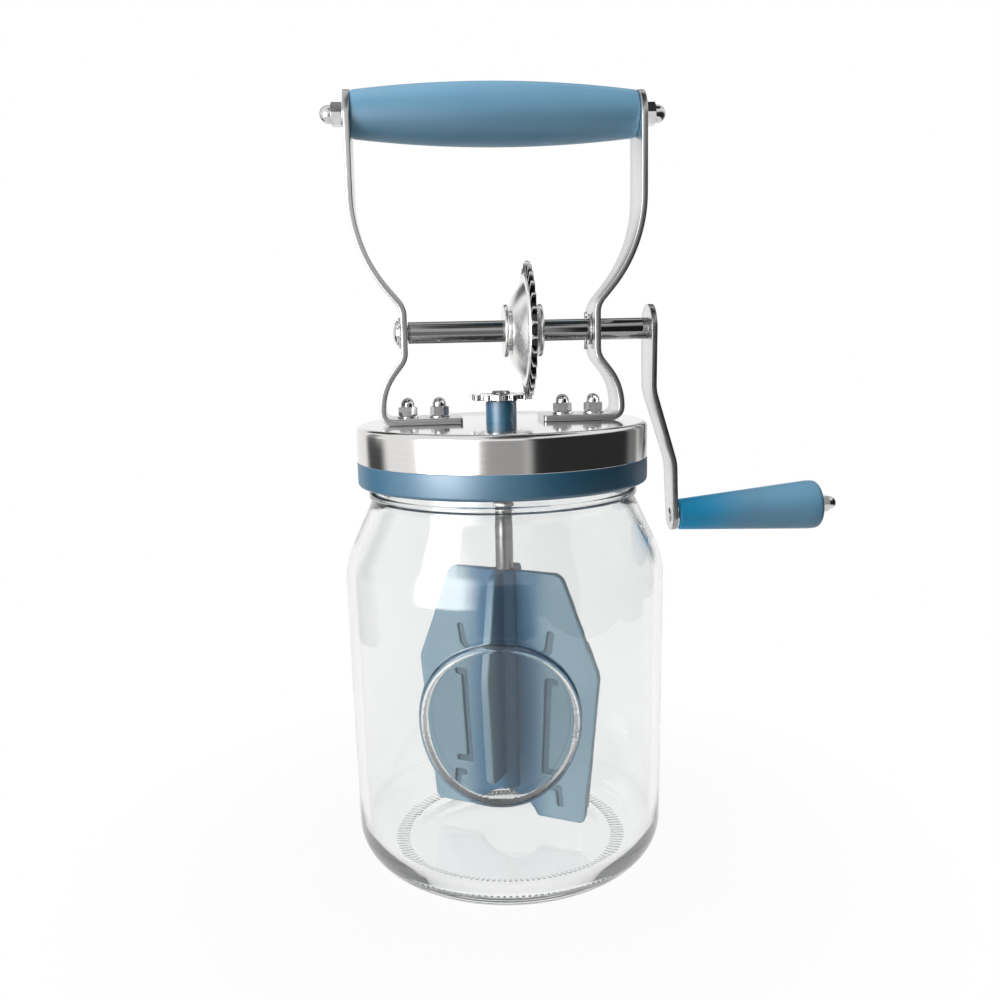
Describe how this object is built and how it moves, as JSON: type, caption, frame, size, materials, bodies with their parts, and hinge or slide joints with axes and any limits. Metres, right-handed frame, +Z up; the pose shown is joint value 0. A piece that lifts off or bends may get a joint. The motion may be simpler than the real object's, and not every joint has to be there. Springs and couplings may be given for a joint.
{
  "type": "butter churn",
  "caption": "Hand-cranked glass butter churn: a jar with a twist-off lid, a gear pair driven by a side crank, a paddle inside and a carrying grip on top.",
  "frame": {"origin": "centre of the ring that the jar stands on", "axes": "+Z up along the jar's axis, +X along the crank axle towards the knob, -Y towards the jar's front"},
  "size_m": [0.1779, 0.1119, 0.2655],
  "materials": {
    "clear_glass": "clear, polished, pressed",
    "blue_plastic": "satin moulded",
    "brushed_steel": "brushed stainless",
    "bright_steel": "polished stainless",
    "seal_rubber": "matte silicone"
  },
  "bodies": {
    "jar": {"glass_jar": "clear_glass"},
    "seal": {"lid_seal": "seal_rubber"},
    "lid": {"lid_collar": "blue_plastic", "lid_cap": "brushed_steel", "spindle_bush": "blue_plastic", "left_bracket": "brushed_steel", "right_bracket": "brushed_steel", "foot_bolts": "bright_steel", "foot_washers": "bright_steel", "foot_nuts": "bright_steel", "grip_rod": "bright_steel", "handle_grip": "blue_plastic", "grip_washers": "bright_steel", "grip_nuts": "bright_steel"},
    "crank": {"crank_axle": "bright_steel", "axle_cap": "bright_steel", "cap_washer": "bright_steel", "thrust_washer": "bright_steel", "split_pin": "bright_steel", "gear_hub": "bright_steel", "hub_flange": "bright_steel", "drive_gear": "bright_steel", "crank_arm": "brushed_steel", "knob_spindle": "bright_steel", "knob_spacer": "bright_steel", "knob_washer": "bright_steel", "knob_nut": "bright_steel"},
    "knob": {"crank_knob": "blue_plastic"},
    "paddle": {"pinion": "bright_steel", "spindle": "bright_steel", "spindle_clip": "bright_steel", "lock_nut": "bright_steel", "paddle_stem": "bright_steel", "paddle": "blue_plastic"}
  },
  "joints": [
    {"name": "lid_lift", "type": "slide", "parent": "jar", "child": "seal", "axis": [0, 0, 1], "range_m": [0, 0.15]},
    {"name": "lid_turn", "type": "hinge", "parent": "seal", "child": "lid", "pos_m": [0, 0, 0.1514], "axis": [0, 0, 1], "range_deg": [0, 90]},
    {"name": "crank_spin", "type": "hinge", "parent": "lid", "child": "crank", "pos_m": [0, 0, 0.18488], "axis": [1, 0, 0], "continuous": true},
    {"name": "paddle_spin", "type": "hinge", "parent": "lid", "child": "paddle", "pos_m": [0, 0, 0.15], "axis": [0, 0, 1], "continuous": true},
    {"name": "knob_spin", "type": "hinge", "parent": "crank", "child": "knob", "pos_m": [0.06037, 0, 0.11908], "axis": [0.9993, 0, 0.0384], "continuous": true}
  ],
  "couplings": [
    {"joint": "paddle_spin", "follows": "crank_spin", "ratio": 2.3077}
  ]
}
